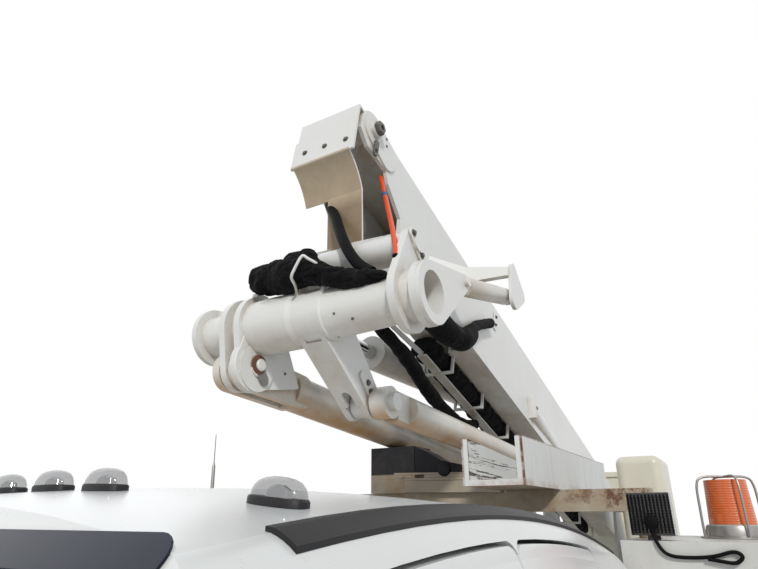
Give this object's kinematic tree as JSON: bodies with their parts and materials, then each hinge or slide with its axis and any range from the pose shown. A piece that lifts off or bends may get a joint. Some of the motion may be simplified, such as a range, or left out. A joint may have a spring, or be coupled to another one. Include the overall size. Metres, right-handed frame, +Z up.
{
  "type": "cherry picker truck",
  "caption": "Extended-cab service truck with a slewing riser, parallel link, tubular elbow and telescopic boom with a bucket, stowed over the cab.",
  "frame": {"origin": "on the ground under the centre of the parked truck's bounding box", "axes": "+X forward, +Y to the truck's left, +Z up"},
  "size_m": [7.9498, 2.47, 3.4556],
  "materials": {
    "chassis_black": "satin black chassis paint",
    "cast_black": "rough cast surface, dusty",
    "cab_white": "glossy white body paint",
    "dark_glass": "tinted safety glass",
    "interior_grey": "grey trim and seat cloth",
    "trim_black": "grained black plastic",
    "lamp_lens": "clear, amber and red lamp plastic",
    "amber_lens": "amber lamp plastic",
    "bumper_chrome": "bright plated steel",
    "body_white": "weathered white paint on sheet steel",
    "tray_board": "cracked pale paint on boards",
    "tyre_black": "black rubber",
    "wheel_white": "white painted steel disc",
    "boom_white": "white paint, dusty, rust at the edges",
    "fibreglass_cream": "cream gel coat",
    "cylinder_white": "white paint",
    "rod_chrome": "hard chromed rod",
    "sleeve_black": "woven abrasion sleeve"
  },
  "bodies": {
    "chassis": {"frame_rails": "chassis_black", "axles": "cast_black", "engine_block": "cast_black", "cab_shell": "cab_white", "cab_glass": "dark_glass", "cab_interior": "interior_grey", "front_fenders": "cab_white", "grille": "trim_black", "vehicle_lamps": "lamp_lens", "front_bumper": "bumper_chrome", "roof_lamps": "amber_lens", "roof_mouldings": "trim_black", "running_boards": "trim_black", "service_body": "body_white", "rear_bumper": "chassis_black", "pedestal": "body_white", "boom_rest": "body_white", "tool_tray": "tray_board"},
    "front_door_l": {"front_door_left": "cab_white", "front_door_glass_left": "dark_glass"},
    "front_door_r": {"front_door_right": "cab_white", "front_door_glass_right": "dark_glass"},
    "rear_door_l": {"rear_door_left": "cab_white", "rear_door_glass_left": "dark_glass"},
    "rear_door_r": {"rear_door_right": "cab_white", "rear_door_glass_right": "dark_glass"},
    "hood_lid": {"hood": "cab_white"},
    "tall_door_l": {"tall_body_door_left": "body_white"},
    "tall_door_r": {"tall_body_door_right": "body_white"},
    "box_door_l": {"rear_body_door_left": "body_white"},
    "box_door_r": {"rear_body_door_right": "body_white"},
    "leg_l": {"stabiliser_leg_left": "chassis_black"},
    "leg_r": {"stabiliser_leg_right": "chassis_black"},
    "steer_l": {"steering_knuckle_left": "cast_black"},
    "steer_r": {"steering_knuckle_right": "cast_black"},
    "wheel_fl": {"front_left_tyre": "tyre_black", "front_left_wheel": "wheel_white"},
    "wheel_fr": {"front_right_tyre": "tyre_black", "front_right_wheel": "wheel_white"},
    "wheel_rl": {"rear_left_tyre": "tyre_black", "rear_left_wheel": "wheel_white"},
    "wheel_rr": {"rear_right_tyre": "tyre_black", "rear_right_wheel": "wheel_white"},
    "slew": {"turntable": "boom_white", "turntable_cover": "fibreglass_cream"},
    "riser_arm": {"riser": "boom_white"},
    "link_arm": {"lower_link": "boom_white"},
    "elbow": {"elbow_knuckle": "boom_white", "elbow_sleeve": "sleeve_black"},
    "outer_boom": {"boom": "boom_white", "boom_hoses": "sleeve_black"},
    "inner_stage": {"inner_boom": "fibreglass_cream"},
    "platform": {"bucket": "fibreglass_cream"},
    "lift_cylinder": {"lift_barrel": "cylinder_white"},
    "lift_piston": {"lift_rod": "rod_chrome"},
    "level_cylinder": {"level_barrel": "chassis_black"},
    "level_piston": {"level_rod": "rod_chrome"},
    "raise_cylinder": {"raise_barrel": "chassis_black"},
    "raise_piston": {"raise_rod": "rod_chrome"}
  },
  "joints": [
    {"name": "steer_left", "type": "hinge", "parent": "chassis", "child": "steer_l", "pos_m": [3.005, 0.74, 0.405], "axis": [0, 0, 1], "range_deg": [-30, 30]},
    {"name": "steer_right", "type": "hinge", "parent": "chassis", "child": "steer_r", "pos_m": [3.005, -0.74, 0.405], "axis": [0, 0, 1], "range_deg": [-30, 30]},
    {"name": "wheel_fl_spin", "type": "hinge", "parent": "steer_l", "child": "wheel_fl", "pos_m": [3.005, 0.93, 0.405], "axis": [0, 1, 0], "continuous": true},
    {"name": "wheel_fr_spin", "type": "hinge", "parent": "steer_r", "child": "wheel_fr", "pos_m": [3.005, -0.93, 0.405], "axis": [0, 1, 0], "continuous": true},
    {"name": "wheel_rl_spin", "type": "hinge", "parent": "chassis", "child": "wheel_rl", "pos_m": [-1.875, 0.945, 0.405], "axis": [0, 1, 0], "continuous": true},
    {"name": "wheel_rr_spin", "type": "hinge", "parent": "chassis", "child": "wheel_rr", "pos_m": [-1.875, -0.945, 0.405], "axis": [0, 1, 0], "continuous": true},
    {"name": "front_door_l_open", "type": "hinge", "parent": "chassis", "child": "front_door_l", "pos_m": [2.314, 1.003, 1.1], "axis": [0, 0, -1], "range_deg": [0, 68]},
    {"name": "rear_door_l_open", "type": "hinge", "parent": "chassis", "child": "rear_door_l", "pos_m": [0.686, 1.003, 1.1], "axis": [0, 0, 1], "range_deg": [0, 80]},
    {"name": "front_door_r_open", "type": "hinge", "parent": "chassis", "child": "front_door_r", "pos_m": [2.314, -1.003, 1.1], "axis": [0, 0, 1], "range_deg": [0, 68]},
    {"name": "rear_door_r_open", "type": "hinge", "parent": "chassis", "child": "rear_door_r", "pos_m": [0.686, -1.003, 1.1], "axis": [0, 0, -1], "range_deg": [0, 80]},
    {"name": "hood_open", "type": "hinge", "parent": "chassis", "child": "hood_lid", "pos_m": [2.64, 0, 1.33], "axis": [0, -1, 0], "range_deg": [0, 60]},
    {"name": "tall_door_l_open", "type": "hinge", "parent": "chassis", "child": "tall_door_l", "pos_m": [0.137, 1.2083, 1.2], "axis": [0, 0, -1], "range_deg": [0, 100]},
    {"name": "box_door_l_open", "type": "hinge", "parent": "chassis", "child": "box_door_l", "pos_m": [-2.423, 1.2083, 0.9], "axis": [0, 0, -1], "range_deg": [0, 100]},
    {"name": "tall_door_r_open", "type": "hinge", "parent": "chassis", "child": "tall_door_r", "pos_m": [0.137, -1.2083, 1.2], "axis": [0, 0, 1], "range_deg": [0, 100]},
    {"name": "box_door_r_open", "type": "hinge", "parent": "chassis", "child": "box_door_r", "pos_m": [-2.423, -1.2083, 0.9], "axis": [0, 0, 1], "range_deg": [0, 100]},
    {"name": "slew_turn", "type": "hinge", "parent": "chassis", "child": "slew", "pos_m": [-2.6, 0, 1.6], "axis": [0, 0, 1], "continuous": true},
    {"name": "riser_lift", "type": "hinge", "parent": "slew", "child": "riser_arm", "pos_m": [-2.3499, -0.2925, 2.1946], "axis": [0, -1, 0], "range_deg": [0, 80]},
    {"name": "link_turn", "type": "hinge", "parent": "slew", "child": "link_arm", "pos_m": [-2.6289, 0.28, 2.0896], "axis": [0, -1, 0], "range_deg": [0, 80]},
    {"name": "elbow_turn", "type": "hinge", "parent": "riser_arm", "child": "elbow", "pos_m": [0.939, -0.2925, 2.465], "axis": [0, 1, 0], "range_deg": [0, 80]},
    {"name": "boom_lift", "type": "hinge", "parent": "elbow", "child": "outer_boom", "pos_m": [0.887, 0.1, 2.8], "axis": [0, 1, 0], "range_deg": [0, 92]},
    {"name": "boom_extend", "type": "slide", "parent": "outer_boom", "child": "inner_stage", "axis": [-0.9532, 0, -0.3024], "range_m": [0, 2.9]},
    {"name": "platform_level", "type": "hinge", "parent": "inner_stage", "child": "platform", "pos_m": [-3.09891, 0.03, 1.97098], "axis": [0, -1, 0], "range_deg": [0, 92]},
    {"name": "lift_cylinder_turn", "type": "hinge", "parent": "outer_boom", "child": "lift_cylinder", "pos_m": [-1.3, -0.256, 2.7], "axis": [0, 1, 0], "range_deg": [0, 10.2]},
    {"name": "lift_rod_slide", "type": "slide", "parent": "lift_cylinder", "child": "lift_piston", "axis": [0.9999, 0, 0.0111], "range_m": [0, 0.461]},
    {"name": "level_cylinder_turn", "type": "hinge", "parent": "elbow", "child": "level_cylinder", "pos_m": [0.679, 0.425, 2.726], "axis": [0, 1, 0], "range_deg": [0, 99.5]},
    {"name": "level_rod_slide", "type": "slide", "parent": "level_cylinder", "child": "level_piston", "axis": [-0.9722, 0, 0.2339], "range_m": [0, 0.315]},
    {"name": "raise_cylinder_turn", "type": "hinge", "parent": "slew", "child": "raise_cylinder", "pos_m": [-2.2, -0.2925, 1.68], "axis": [0, -1, 0], "range_deg": [0, 58.4]},
    {"name": "raise_rod_slide", "type": "slide", "parent": "raise_cylinder", "child": "raise_piston", "axis": [0.8686, 0, 0.4956], "range_m": [0, 0.518]},
    {"name": "leg_l_down", "type": "slide", "parent": "chassis", "child": "leg_l", "axis": [0, 0, -1], "range_m": [0, 0.34]},
    {"name": "leg_r_down", "type": "slide", "parent": "chassis", "child": "leg_r", "axis": [0, 0, -1], "range_m": [0, 0.34]}
  ],
  "couplings": [
    {"joint": "steer_right", "follows": "steer_left", "ratio": 1},
    {"joint": "link_turn", "follows": "riser_lift", "ratio": 1},
    {"joint": "elbow_turn", "follows": "riser_lift", "ratio": 1},
    {"joint": "raise_cylinder_turn", "follows": "riser_lift", "ratio": 0.729},
    {"joint": "raise_rod_slide", "follows": "riser_lift", "m_per_rad": 0.3699},
    {"joint": "platform_level", "follows": "boom_lift", "ratio": 1},
    {"joint": "lift_cylinder_turn", "follows": "boom_lift", "ratio": 0.11},
    {"joint": "lift_rod_slide", "follows": "boom_lift", "m_per_rad": 0.2865},
    {"joint": "level_cylinder_turn", "follows": "boom_lift", "ratio": 1.08},
    {"joint": "level_rod_slide", "follows": "boom_lift", "m_per_rad": 0.1954}
  ]
}
